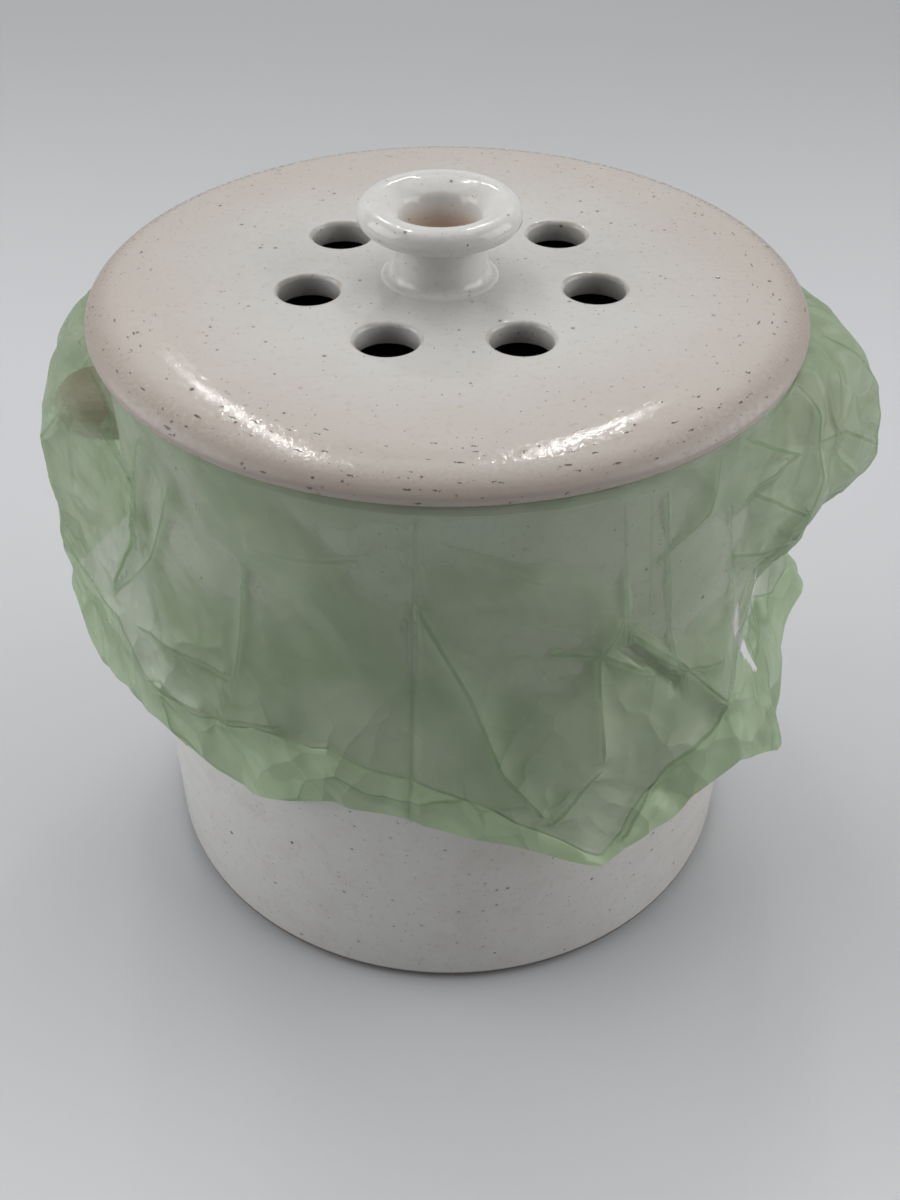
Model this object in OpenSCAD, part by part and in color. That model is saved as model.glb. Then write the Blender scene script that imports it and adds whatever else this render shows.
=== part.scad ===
// Stoneware compost caddy with a vented lift-off lid, two side lugs and a film liner.
// Millimetres. The crock stands on Z = 0 about the Z axis, and its front faces -Y.

/* [Crock] */
// Height of the crock from its flat base to the top of its rim
crock_h = 205.6; // [180:0.2:240]
// Outer radius of the crock at its base
base_r = 106; // [98:0.5:116]
// How much wider the crock is at its rim than at its base
rim_flare = 1; // [0:0.5:3]
// Thickness of the thrown wall at the base
wall_t = 7; // [5:0.5:9]
// Thickness of the floor
floor_t = 9; // [6:0.5:14]
// Radius of the inside curve from floor to wall
floor_curve = 16; // [8:1:24]
// Radius of the rounded edges of the rim
rim_round = 2; // [1:0.5:2.5]
// Height of the trimmed undercut at the foot
foot_h = 3; // [1:0.5:6]
// How far the undercut goes in at the very bottom
foot_in = 2.5; // [1:0.5:5]

/* [Lugs] */
// How far each lug stands out from the base radius
lug_reach = 24; // [16:1:30]
// Width of each lug, seen from above
lug_w = 30; // [24:1:40]
// Thickness of each lug, which its rounded edge takes up
lug_t = 18; // [12:1:22]
// Depth of the middle of the lugs below the rim
lug_drop = 37.6; // [32:0.2:48]

/* [Lid] */
// Radius of the lid
lid_r = 110; // [108:0.5:118]
// Thickness of the lid above its seat
lid_t = 8.6; // [7.5:0.1:11]
// Radius of the lid's rounded lower edge
lid_nose = 2; // [1:0.1:3.2]
// Width of the long curve between the flat top and the edge
shoulder_w = 18; // [8:1:24]
// Depth of the trimmed hollow inside the collar
under_hollow = 1.4; // [0.5:0.1:2.5]
// How far the lid lies off the crock's centre, in X
lid_off = -1.5; // [-2:0.1:2]

/* [Vents] */
// Number of vents
vent_n = 7; // [5:1:8]
// Radius of each vent
vent_r = 9.3; // [6:0.1:11]
// Radius of the circle that the vents lie on
vent_ring = 44.2; // [38:0.2:56]
// Width of the softened edge of each vent
vent_edge = 1.4; // [0.4:0.1:2]
// How far the ring of vents lies off the lid's centre, in X
vent_off = 1.2; // [-3:0.1:3]
// Angle of the first vent, counted from +X
vent_turn = 91.6; // [60:0.2:120]

/* [Knob] */
// Radius of the knob's flared rim
knob_r = 25; // [22:0.1:32]
// Height of the knob above the lid
knob_h = 24; // [20:0.5:32]
// Radius of the knob's rounded rim edge
knob_nose = 4; // [3:0.1:5]
// Radius of the waisted neck
neck_r = 14.4; // [13.4:0.1:17]
// Radius of the fillet where the neck meets the lid
neck_fillet = 2.6; // [1:0.1:4]
// Radius of the well's mouth, inside the rim
well_r = 12.8; // [11:0.1:15]
// Radius of the well's floor
well_floor_r = 7; // [4:0.5:9]
// Height of the well's floor above the lid
well_floor_h = 8; // [5:0.5:12]
// How far the knob lies off the lid's centre, in X
knob_off = -2.3; // [-3:0.1:3]

/* [Collar and filter] */
// Depth of the collar below the lid's seat
collar_h = 13; // [10:0.5:24]
// Thickness of the collar at its lower edge
collar_t = 5; // [4:0.5:8]
// Space between the collar and the liner, all round
collar_gap = 3; // [2.2:0.1:5]
// Width of the ledge inside the collar that the filter is pushed up to
ledge_w = 3; // [2:0.5:6]
// Depth of that ledge below the lid's seat
ledge_h = 3; // [2:0.5:6]
// Thickness of the charcoal filter
filter_t = 9; // [6:0.5:18]
// Space between the filter's edge and the collar
filter_gap = 0.3; // [0.2:0.1:1]

/* [Liner] */
// Thickness that the film is modelled with
film_t = 0.8; // [0.5:0.1:1.2]
// Space between the film and the clay beside it
film_gap = 0.3; // [0.2:0.1:0.8]
// Depth of the straight band of film outside the rim
band_h = 3; // [3:0.5:8]
// Space between the cuff and the lugs that it hangs over
cuff_gap = 1; // [1:0.1:3]
// How far below the rim the cuff stands out most
belly_drop = 56; // [54:1:62]
// How far the cuff stands out past the left lug
slack_left = 7.5; // [0:0.5:12]
// How far the cuff stands out past the right lug
slack_right = 12; // [0:0.5:14]
// Share of the hem's drop and flare that is used
hem_share = 1; // [0.8:0.05:1.1]

/* [Hidden] */

$fn = 96;
arc_steps = 10;
fine_step = 3;
coarse_step = 6;
lug_zone = 12;
over = 1;

// Crock
inner_r = base_r - wall_t;
rim_r = base_r + rim_flare;
lug_z = crock_h - lug_drop;
lug_tip = base_r + lug_reach;
lug_disc_x = lug_tip - lug_w / 2;

// Lid, with heights counted from its seat on the film
seat_z = crock_h + film_t;
collar_r = inner_r - film_gap - film_t - collar_gap;
collar_in = collar_r - collar_t;
ledge_in = collar_in - ledge_w;
shoulder_x = lid_r - shoulder_w;

// Liner
cuff_top = crock_h - band_h;
cuff_in = rim_r + film_gap;
cuff_lug_r = lug_w / 2 + cuff_gap;
belly_z = crock_h - belly_drop;
slack_wide = 24;
fade_right = 0.35;
fade_left = 0.9;
flare_power = 1.3;

// Angle round the crock, and how far the hem hangs below the rim there
hem_drop = [
    [0, 108], [20, 116], [45, 102], [70, 112], [95, 100], [120, 111], [150, 98], [175, 110], [198, 118],
    [219, 108], [238, 120], [252, 109], [270, 114], [292, 128], [304, 122], [316, 111], [329, 131],
    [345, 116], [360, 108]
];

// Angle round the crock, and how far the hem flares out there
hem_flare = [
    [0, 3], [25, 12], [60, 9], [90, 7], [120, 11], [150, 10], [172, 5], [184, 5], [198, 10], [219, 11],
    [238, 9], [252, 7], [270, 8], [292, 15], [304, 17], [316, 19], [329, 20], [345, 10], [360, 3]
];

// Points on an arc about c, from angle a to angle b
function arc(c, r, a, b) =
    [for (i = [0:arc_steps]) let (t = a + (b - a) * i / arc_steps) c + r * [cos(t), sin(t)]];

// Points on a quarter of an ellipse about c, from its side, w out, to its top, h up
function shoulder(c, w, h) =
    [for (i = [0:arc_steps]) let (t = 90 * i / arc_steps) c + [w * cos(t), h * sin(t)]];

// Points on a smooth curve from p to s, drawn towards q and r on the way
function curve(p, q, r, s) =
    [for (i = [0:arc_steps]) let (t = i / arc_steps, u = 1 - t)
        u * u * u * p + 3 * u * u * t * q + 3 * u * t * t * r + t * t * t * s];

// Outer wall of the crock at height z
function wall_r(z) = base_r + rim_flare * z / crock_h;

module crock_body() {
    rim_z = crock_h - rim_round;
    profile = concat(
        [[0, 0], [base_r - foot_in, 0], [wall_r(foot_h), foot_h]],
        arc([wall_r(rim_z) - rim_round, rim_z], rim_round, 0, 90),
        arc([inner_r + rim_round, rim_z], rim_round, 90, 180),
        arc([inner_r - floor_curve, floor_t + floor_curve], floor_curve, 0, -90),
        [[0, floor_t]]
    );
    color("gainsboro") rotate_extrude() polygon(profile);
}

// Section of a lug across its length: a slab with fully rounded edges
module lug_section() {
    side = (lug_w - lug_t) / 2;
    polygon(concat(
        arc([side, 0], lug_t / 2, -90, 90),
        arc([-side, 0], lug_t / 2, 90, 270)
    ));
}

// Half of that section, which turns about the lug's own centre to make its round end
module lug_half_section() {
    side = (lug_w - lug_t) / 2;
    polygon(concat([[0, -lug_t / 2]], arc([side, 0], lug_t / 2, -90, 90), [[0, lug_t / 2]]));
}

// A lug along +X, with its root cut to the crock's wall
module lug() {
    root = inner_r;
    difference() {
        union() {
            translate([lug_disc_x, 0, lug_z]) rotate_extrude() lug_half_section();
            translate([root, 0, lug_z]) rotate([90, 0, 90])
                linear_extrude(height = lug_disc_x - root) lug_section();
        }
        cylinder(r1 = base_r, r2 = rim_r, h = crock_h);
    }
}

module lug_right() {
    color("linen") lug();
}

module lug_left() {
    color("linen") rotate([0, 0, 180]) lug();
}

// Sets a piece of the lid on its seat, off centre as it lies in the photo
module on_seat() {
    translate([lid_off, 0, seat_z]) children();
}

module lid_plate() {
    profile = concat(
        [[0, under_hollow], [ledge_in - under_hollow, under_hollow], [ledge_in, 0]],
        arc([lid_r - lid_nose, lid_nose], lid_nose, -90, 0),
        shoulder([shoulder_x, lid_nose], shoulder_w, lid_t - lid_nose),
        [[0, lid_t]]
    );
    color("whitesmoke") on_seat() difference() {
        rotate_extrude() polygon(profile);
        for (i = [0:vent_n - 1]) {
            translate([vent_off, 0, 0]) rotate([0, 0, vent_turn + i * 360 / vent_n])
                translate([vent_ring, 0, 0]) vent();
        }
    }
}

// A vent through the lid, with its upper edge softened
module vent() {
    translate([0, 0, -over]) cylinder(r = vent_r, h = lid_t + 2 * over);
    translate([0, 0, lid_t - vent_edge])
        cylinder(r1 = vent_r, r2 = vent_r + vent_edge + over, h = vent_edge + over);
}

module lid_collar() {
    corner = 1.5;
    profile = concat(
        [[ledge_in, 0], [ledge_in, -ledge_h], [collar_in, -ledge_h]],
        arc([collar_in + corner, corner - collar_h], corner, 180, 270),
        arc([collar_r - corner, corner - collar_h], corner, 270, 360),
        [[collar_r, 0]]
    );
    color("antiquewhite") on_seat() rotate_extrude() polygon(profile);
}

module lid_knob() {
    rim = [knob_r - knob_nose, knob_h - knob_nose];
    neck_top = rim[1] - knob_nose - neck_fillet;
    under_turn = 250;
    under = rim + knob_nose * [cos(under_turn), sin(under_turn)];
    neck_flare = [2, -1];
    lip_reach = 3;
    lip_lean = 1.5;
    edge = [well_r, rim[1]];
    profile = concat(
        [[0, 0]],
        arc([neck_r + neck_fillet, neck_fillet], neck_fillet, 270, 180),
        curve([neck_r, neck_top - neck_fillet], [neck_r, neck_top], [neck_r, under[1]] + neck_flare, under),
        arc(rim, knob_nose, under_turn, 450),
        curve([rim[0], knob_h], [rim[0] - lip_reach, knob_h], edge + [lip_lean, lip_lean], edge),
        curve(edge, edge - [lip_lean, 2 * lip_lean], [well_floor_r + lip_reach, well_floor_h],
            [well_floor_r, well_floor_h]),
        [[0, well_floor_h]]
    );
    color("white") on_seat() translate([knob_off, 0, lid_t]) rotate_extrude() polygon(profile);
}

// The filter is pushed up to the collar's ledge and held by its edge
module charcoal_filter() {
    color("dimgray") on_seat() translate([0, 0, -ledge_h - filter_t])
        cylinder(r = collar_in - filter_gap, h = filter_t);
}

// The film inside the crock, over its rim and a little way down outside
module liner_pouch() {
    out_r = inner_r - film_gap;
    in_r = out_r - film_t;
    low = floor_t + film_gap;
    profile = concat(
        [[0, low]],
        arc([out_r - floor_curve, low + floor_curve], floor_curve, -90, 0),
        [[out_r, crock_h], [cuff_in, crock_h], [cuff_in, cuff_top], [cuff_in + film_t, cuff_top],
         [cuff_in + film_t, seat_z], [in_r, seat_z]],
        arc([out_r - floor_curve, low + floor_curve], floor_curve - film_t, 0, -90),
        [[0, low + film_t]]
    );
    color("darkseagreen") rotate_extrude() polygon(profile);
}

// Angle between direction a and the nearer lug
function from_lug(a) = min(abs(a), abs(a - 180), abs(a - 360));

// How far out film reaches in direction a when it is drawn tight round the crock and a lug
function tight_reach(a) =
    let (
        turn = from_lug(a),
        leave = acos((cuff_in - cuff_lug_r) / lug_disc_x),
        meet = atan2(cuff_lug_r * sin(leave), lug_disc_x + cuff_lug_r * cos(leave)),
        across = lug_disc_x * sin(turn)
    )
    turn >= leave ? cuff_in
    : turn >= meet ? cuff_in / cos(leave - turn)
    : lug_disc_x * cos(turn) + sqrt(cuff_lug_r * cuff_lug_r - across * across);

// Extra reach past a lug's tip, which fades down the free film, sooner on the right
function slack(a, t) =
    let (
        right = min(a, 360 - a),
        left = abs(a - 180)
    )
    slack_right * exp(-pow(right / slack_wide, 2) - pow(t / fade_right, 2))
    + slack_left * exp(-pow(left / slack_wide, 2) - pow(t / fade_left, 2));

// Directions round the cuff, closer together at the lugs
directions = [for (a = [0:fine_step:360 - fine_step]) if (a % coarse_step == 0 || from_lug(a) < lug_zone) a];

// Rows down the cuff: a quarter turn from the rim to the belly, then shares of the way to the hem
upper_turns = [0, 25, 50, 72];
lower_rows = [0, 0.2, 0.45, 0.72, 1];
row_n = len(upper_turns) + len(lower_rows);

function cuff_point(a, row, t) =
    let (
        upper = row < len(upper_turns),
        s = upper ? upper_turns[row] : 90,
        d = upper ? 0 : lower_rows[row - len(upper_turns)],
        hem_z = crock_h - hem_share * lookup(a, hem_drop),
        z = upper ? belly_z + (cuff_top - belly_z) * cos(s) : belly_z + (hem_z - belly_z) * d,
        flare = hem_share * lookup(a, hem_flare) * pow(d, flare_power),
        r = cuff_in + (tight_reach(a) - cuff_in + slack(a, d)) * sin(s) + flare + t
    )
    [r * cos(a), r * sin(a), z];

module liner_cuff() {
    n = len(directions);
    points = [for (t = [0, film_t], row = [0:row_n - 1], a = directions) cuff_point(a, row, t)];
    outer = row_n * n;
    last = (row_n - 1) * n;
    faces = concat(
        [for (row = [0:row_n - 2], i = [0:n - 1]) let (j = (i + 1) % n, k = row * n, m = k + n)
            each [[k + i, k + j, m + i], [k + j, m + j, m + i],
                  [outer + k + j, outer + k + i, outer + m + i], [outer + k + j, outer + m + i, outer + m + j]]],
        [for (i = [0:n - 1]) let (j = (i + 1) % n)
            each [[i, outer + i, j], [j, outer + i, outer + j],
                  [last + j, outer + last + i, last + i], [last + j, outer + last + j, outer + last + i]]]
    );
    color("mediumseagreen") polyhedron(points, faces);
}

crock_body();
lug_left();
lug_right();
lid_plate();
lid_collar();
lid_knob();
charcoal_filter();
liner_pouch();
liner_cuff();
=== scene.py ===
# Stoneware compost caddy with a vented lid and a turned-down film liner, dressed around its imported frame
import math
import random

import bmesh
import bpy
from mathutils import Matrix, Vector, noise


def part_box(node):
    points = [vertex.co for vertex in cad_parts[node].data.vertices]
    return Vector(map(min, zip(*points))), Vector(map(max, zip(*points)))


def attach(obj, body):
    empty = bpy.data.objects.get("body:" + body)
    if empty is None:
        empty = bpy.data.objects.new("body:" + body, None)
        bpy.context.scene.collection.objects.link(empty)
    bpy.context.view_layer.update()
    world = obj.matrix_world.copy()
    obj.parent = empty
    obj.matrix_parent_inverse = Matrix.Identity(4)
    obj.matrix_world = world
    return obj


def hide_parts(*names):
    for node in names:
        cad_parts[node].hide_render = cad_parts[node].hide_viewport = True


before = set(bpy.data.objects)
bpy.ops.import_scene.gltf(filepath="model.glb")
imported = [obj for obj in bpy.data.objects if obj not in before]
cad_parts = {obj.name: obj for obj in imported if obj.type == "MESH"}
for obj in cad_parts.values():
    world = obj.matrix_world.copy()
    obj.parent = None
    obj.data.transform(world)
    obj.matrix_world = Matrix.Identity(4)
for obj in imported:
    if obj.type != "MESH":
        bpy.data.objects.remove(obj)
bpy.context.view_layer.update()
mm = 0.001
scene = bpy.context.scene


def smooth(a, b, x):
    # 0 at a, 1 at b, easing between
    t = min(1.0, max(0.0, (x - a) / (b - a)))
    return t * t * (3 - 2 * t)


def bell(x, wide):
    return math.exp(-((x / wide) ** 2))


def table(points, x):
    # straight lines between listed points
    for (a, p), (b, q) in zip(points, points[1:]):
        if x <= b:
            return p + (q - p) * (x - a) / (b - a)
    return points[-1][1]


def span(node):
    # lowest and highest corner of a CAD node, its radius, and where its middle lies in x
    low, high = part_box(node)
    return low, high, (high.x - low.x) / 2, (high.x + low.x) / 2


def between(a, b):
    # signed angle from direction b to direction a, in degrees
    return (a - b + 180) % 360 - 180


# Camera first: it stands where the photo was taken from

view = {
    "place": (0.15 * mm, -380.3 * mm, 405.9 * mm),
    "down": 40.25,
    "roll": 0.5,
    "lens": 40.5,  # with a sensor 36 mm wide
}


def makeCamera():
    data = bpy.data.cameras.new("photoCamera")
    data.lens = view["lens"]
    data.sensor_width = 36
    data.clip_start = 0.01
    camera = bpy.data.objects.new("photoCamera", data)
    tilt = Matrix.Rotation(math.radians(90 - view["down"]), 4, "X")
    roll = Matrix.Rotation(math.radians(view["roll"]), 4, "Z")
    camera.matrix_world = Matrix.Translation(view["place"]) @ tilt @ roll
    scene.collection.objects.link(camera)
    scene.camera = camera


# Sizes of the clay pieces, which their glaze follows too

crock = {
    "wall": 7 * mm,
    "floor": 9 * mm,
    "floorCurve": 16 * mm,
    "rimRound": 2 * mm,
    "footHigh": 3 * mm,
    "footIn": 2.5 * mm,
    "flare": 1 * mm,
}

lid = {
    "nose": 2 * mm,
    "shoulder": 18 * mm,
    "hollow": 1.4 * mm,
    "ledgeIn": 86.9 * mm,
    "vents": 7,
    "ventRadius": 9.3 * mm,
    "ventRing": 44.2 * mm,
    "ventEdge": 1.5 * mm,
    "ventOff": 1.2 * mm,
    "ventTurn": 91.6,
    "bead": 0.35 * mm,  # glaze gathered on the lower edge
}

knob = {
    "nose": 4 * mm,
    "neck": 14.4 * mm,
    "fillet": 2.6 * mm,
    "well": 12.8 * mm,
    "wellFloor": 7 * mm,
    "wellHigh": 8 * mm,
    "ring": 0.5 * mm,  # glaze run down round the foot
}
lidRadius, lidX = span("lid_plate")[2:]
knobTop, knobX = span("lid_knob")[1].z, span("lid_knob")[3]


# Materials: one wrapper does the shader maths


class Sock:
    def __init__(self, tree, socket):
        self.tree, self.socket = tree, socket

    def maths(self, operation, *values):
        return self.tree.node("ShaderNodeMath", {"operation": operation}, *values)[0]

    def of(self, operation, *more):
        return self.maths(operation, self, *more)

    def __add__(self, other):
        return self.maths("ADD", self, other)

    def __sub__(self, other):
        return self.maths("SUBTRACT", self, other)

    def __rsub__(self, other):
        return self.maths("SUBTRACT", other, self)

    def __mul__(self, other):
        return self.maths("MULTIPLY", self, other)

    def __truediv__(self, other):
        return self.maths("DIVIDE", self, other)

    def __pow__(self, other):
        return self.maths("POWER", self, other)

    def least(self, other):
        return self.maths("MINIMUM", self, other)

    def most(self, other):
        return self.maths("MAXIMUM", self, other)

    def ramp(self, low, high):
        # 0 at low, 1 at high, smooth between; low may be above high
        settings = {"interpolation_type": "SMOOTHSTEP"}
        if low > high:
            return 1 - self.ramp(high, low)
        return self.tree.node("ShaderNodeMapRange", settings, self, low, high, 0.0, 1.0)[0]

    __radd__ = __add__
    __rmul__ = __mul__


class Tree:
    def __init__(self, name):
        self.material = bpy.data.materials.new(name)
        self.material.use_nodes = True
        self.nodes = self.material.node_tree.nodes
        self.nodes.clear()
        self.out = self.nodes.new("ShaderNodeOutputMaterial")

    def put(self, value, target):
        if isinstance(value, Sock):
            self.material.node_tree.links.new(value.socket, target)
        elif value is not None:
            target.default_value = value

    def node(self, kind, settings=None, *values, **named):
        n = self.nodes.new(kind)
        for key, value in (settings or {}).items():
            setattr(n, key, value)
        for value, target in zip(values, [s for s in n.inputs if s.enabled]):
            self.put(value, target)
        for key, value in named.items():
            self.put(value, n.inputs[key.replace("_", " ")])
        return [Sock(self, s) for s in n.outputs if s.enabled]

    def blend(self, share, a, b):
        return self.node("ShaderNodeMix", {"data_type": "RGBA"}, share, a, b)[0]

    def place(self, centre=(0, 0, 0)):
        # object coordinates, measured from centre
        spot = self.node("ShaderNodeTexCoord")[3]
        return self.vectors("SUBTRACT", spot, centre)

    def vectors(self, operation, a, b):
        return self.node("ShaderNodeVectorMath", {"operation": operation}, a, b)[0]

    def parts(self, vector):
        return self.node("ShaderNodeSeparateXYZ", None, vector)

    def join(self, x, y, z):
        return self.node("ShaderNodeCombineXYZ", None, x, y, z)[0]

    def noise(self, vector, scale, detail=3.0, rough=0.5):
        return self.node(
            "ShaderNodeTexNoise", None, Vector=vector, Scale=scale, Detail=detail, Roughness=rough
        )[0]

    def bump(self, height, depth, strength=1.0, under=None):
        return self.node(
            "ShaderNodeBump", None, Strength=strength, Distance=depth, Height=height, Normal=under
        )[0]

    def cells(self, vector, scale, feature="F1"):
        # distance and colour of the nearest of scattered points, or the distance to the edge between two
        settings = {"feature": feature}
        return self.node("ShaderNodeTexVoronoi", settings, Vector=vector, Scale=scale, Randomness=1.0)

    def surface(self, base, rough, normal=None):
        return self.node("ShaderNodeBsdfPrincipled", None, Base_Color=base, Roughness=rough, Normal=normal)[0]

    def finish(self, shader):
        self.put(shader, self.out.inputs["Surface"])
        return self.material


def colour(red, green, blue):
    # a colour as it reads on a screen, 0 to 255, made linear
    linear = (((c / 255 + 0.055) / 1.055) ** 2.4 if c > 10 else c / 3295 for c in (red, green, blue))
    return (*linear, 1.0)


glaze = {
    "thick": colour(200, 199, 196),
    "thin": colour(189, 179, 170),
    "broken": colour(182, 158, 140),
    # tan where the glaze breaks thin at the vents; on the lid's lower edge it is also painted shade
    "edge": colour(158, 147, 137),
    # dark brown at the foot: partly the bare clay, partly a painted contact shadow
    "foot": colour(84, 70, 58),
    "clay": colour(176, 150, 128),
    "darkClay": colour(158, 132, 110),
    "speck": colour(74, 60, 52),
    "rust": colour(158, 126, 102),
    "pit": colour(88, 72, 62),
    "wander": 36 * mm,  # how far the line between thick and thin glaze wanders
    "leastRough": 0.03,
    "thinRough": 0.03,  # roughness added where the glaze is thin
    "brokenRough": 0.34,  # where it breaks
    "mattRough": 0.18,  # and in the matt islands of the pitted shoulder
    # dots: how many to a metre, share of them kept, radius, strength
    "dust": (620, 0.9, 0.2 * mm, 0.22),
    "halo": (240, 0.4, 0.85 * mm, 0.3),
    "pits": (340, 1.0, 0.52 * mm, 0.9),
    "pitsLie": 0.04,  # metres to a radian round the pot: less than the real way, so that they lie along it
    "pitsRagged": 2.6 * mm,
}
# iron specks of three sizes, as dots in the same way
speckSizes = [(400, 0.85, 0.3 * mm, 0.55), (240, 0.4, 0.46 * mm, 0.72), (120, 0.22, 0.8 * mm, 0.85)]


def specks(tree, place, perMetre, share, size, soft=0.35):
    # dots where the surface passes near a scattered point, each of its own size
    found = tree.cells(place, perMetre)
    red, green = tree.node("ShaderNodeSeparateColor", None, found[1])[:2]
    kept = red.ramp(1 - share, 1.001 - share)
    radius = (green * 0.75 + 0.25) * (size * perMetre)
    dot = found[0] / radius
    return kept * dot.ramp(1 + soft, 1 - soft)


def glazed(
    name, centreX, warm, broken=None, gloss=0.26, grain=1.0, pits=None, white=0.0, tint=None, foot=None
):
    # white glaze over speckled clay; warm, broken and pits are masks made from (tree, radius, x, y, z)
    tree = Tree(name)
    place = tree.place((centreX, 0, 0))
    x, y, z = tree.parts(place)
    radius = (x * x + y * y) ** 0.5
    cloud = tree.noise(place, 24, 4)
    patch = tree.noise(place, 90, 3)
    fine = tree.noise(place, 420, 4)
    thin = warm(tree, radius + (cloud - 0.5) * glaze["wander"], x, y, z)
    base = tree.blend(thin, tuple(min(1.0, c + white) for c in glaze["thick"]), glaze["thin"])
    base = tree.blend(patch.ramp(0.45, 0.75) * 0.22, base, glaze["thin"])
    dull = thin * glaze["thinRough"]
    if broken:
        # where the glaze breaks thin; on the lid's lower edge this mask also paints shade
        thinGlazeAndShade = broken(tree, radius, x, y, z)
        base = tree.blend(thinGlazeAndShade, base, tint or glaze["broken"])
        dull = thinGlazeAndShade * glaze["brokenRough"]
    base = tree.blend(fine.ramp(0.52, 0.78) * 0.16, base, glaze["rust"])
    perMetre, share, size, strength = glaze["halo"]
    base = tree.blend(specks(tree, place, perMetre, share * grain, size, 0.8) * strength, base, glaze["rust"])
    perMetre, share, size, strength = glaze["dust"]
    base = tree.blend(specks(tree, place, perMetre, share, size) * strength, base, glaze["rust"])
    dark, dips = 0.0, 0.0
    for perMetre, share, size, strength in speckSizes:
        dots = specks(tree, place, perMetre, share * grain, size)
        dark = (dots * strength).most(dark)
        dips = dots.most(dips)
    base = tree.blend(dark, base, glaze["speck"])
    matt, dimpled = 0.0, 0.12
    if pits:
        pitted = pits(tree, radius, x, y, z)
        dimpled = pitted * 1.1 + 0.25
        # the glaze is matt in small islands there, which breaks up what it mirrors
        matt = tree.noise(place, 560, 2).ramp(0.47, 0.6) * pitted * glaze["mattRough"]
        # short pits lying along the throwing lines
        along = tree.join(y.of("ARCTAN2", x) * glaze["pitsLie"], radius * 1.5, z)
        ragged = tree.noise(place, 800, 3) * glaze["pitsRagged"]
        along = tree.vectors("ADD", along, tree.join(ragged, ragged, ragged))
        perMetre, share, size, strength = glaze["pits"]
        hollows = specks(tree, along, perMetre, share, size, 0.2) * pitted
        base = tree.blend(hollows * strength, base, glaze["pit"])
        dips = dips.most(hollows)
    if foot:
        # painted contact shadow over the bare clay of the foot: the lowest few mm turn dark brown
        base = tree.blend(z.ramp(foot + 1.7 * mm, foot + 0.5 * mm), base, glaze["foot"])
    rings = tree.noise(tree.join(radius, z, 0.0), 420, 3)
    peel = tree.noise(place, 330, 3)
    orange = tree.noise(place, 640, 2) * dimpled
    normal = tree.bump(rings, 0.10 * mm, 0.45)
    normal = tree.bump(peel, 0.12 * mm, 0.5, normal)
    normal = tree.bump(orange, 0.07 * mm, 0.9, normal)
    normal = tree.bump(dips * -1.0, 0.2 * mm, 0.7, normal)
    rough = (fine * 0.1 + gloss + dull + matt).most(glaze["leastRough"])
    return tree.finish(tree.surface(base, rough, normal))


# Masks for the glaze


def even(amount):
    return lambda tree, radius, x, y, z: amount


def crockWarm(tree, radius, x, y, z):
    return tree.noise(tree.join(x, y, z * 0.4), 14, 3).ramp(0.4, 0.8) * 0.5


def towardsEdge(tree, radius, x, y, z):
    return radius.ramp(lidRadius * 0.35, lidRadius * 1.02)


def shoulderPits(tree, radius, x, y, z):
    return radius.ramp(lidRadius - 26 * mm, lidRadius - 12 * mm)


def ventBreakAndEdgeShade(tree, radius, x, y, z):
    # glaze breaks thin and tan over the edges of the vents; the lower edge of the lid turns darker, partly
    # thin glaze and partly painted shade on its rounded edge
    step = 2 * math.pi / lid["vents"]
    vx = x - lid["ventOff"]
    out = (vx * vx + y * y) ** 0.5
    turn = y.of("ARCTAN2", vx) - math.radians(lid["ventTurn"])
    turn = turn.of("WRAP", step / 2, -step / 2)
    dx = out * turn.of("COSINE") - lid["ventRing"]
    dy = out * turn.of("SINE")
    away = (dx * dx + dy * dy) ** 0.5
    hole = lid["ventRadius"]
    rounded = hole + lid["ventEdge"]
    lip = away.ramp(rounded, rounded - 0.7 * mm) * away.ramp(hole - 0.1 * mm, hole + 0.5 * mm)
    worn = tree.noise(tree.join(x, y, z), 160, 3).ramp(0.4, 0.6)
    # painted shade and thin glaze: the lid darkens towards its lower edge
    lowerEdgeThinAndShaded = radius.ramp(lidRadius - 10 * mm, lidRadius - 1 * mm) * 0.8
    return (lip * (worn * 0.5 + 0.15)).most(lowerEdgeThinAndShaded)


def knobInside(tree, radius, x, y, z):
    deep = z.ramp(knobTop - 3 * mm, knobTop - 13 * mm)
    return radius.ramp(knob["well"] + 1 * mm, knob["well"] - 3 * mm) * deep * 0.9


def bareClay():
    # unglazed ring that stays off the kiln shelf
    tree = Tree("bareClay")
    place = tree.place()
    grit = tree.noise(place, 700, 4)
    base = tree.blend(tree.noise(place, 40, 3), glaze["clay"], glaze["darkClay"])
    base = tree.blend(specks(tree, place, 300, 0.8, 0.4 * mm) * 0.8, base, glaze["speck"])
    return tree.finish(tree.surface(base, grit * 0.2 + 0.7, tree.bump(grit, 0.2 * mm, 0.8)))


def charcoalPad():
    # felt with powdered charcoal in it
    tree = Tree("charcoalPad")
    place = tree.place()
    fibre = tree.noise(place, 900, 4)
    felt = tree.noise(place, 160, 3)
    base = tree.blend(fibre * felt, colour(10, 10, 11), colour(38, 38, 40))
    return tree.finish(tree.surface(base, 0.95, tree.bump(fibre, 0.6 * mm, 0.8)))


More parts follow.
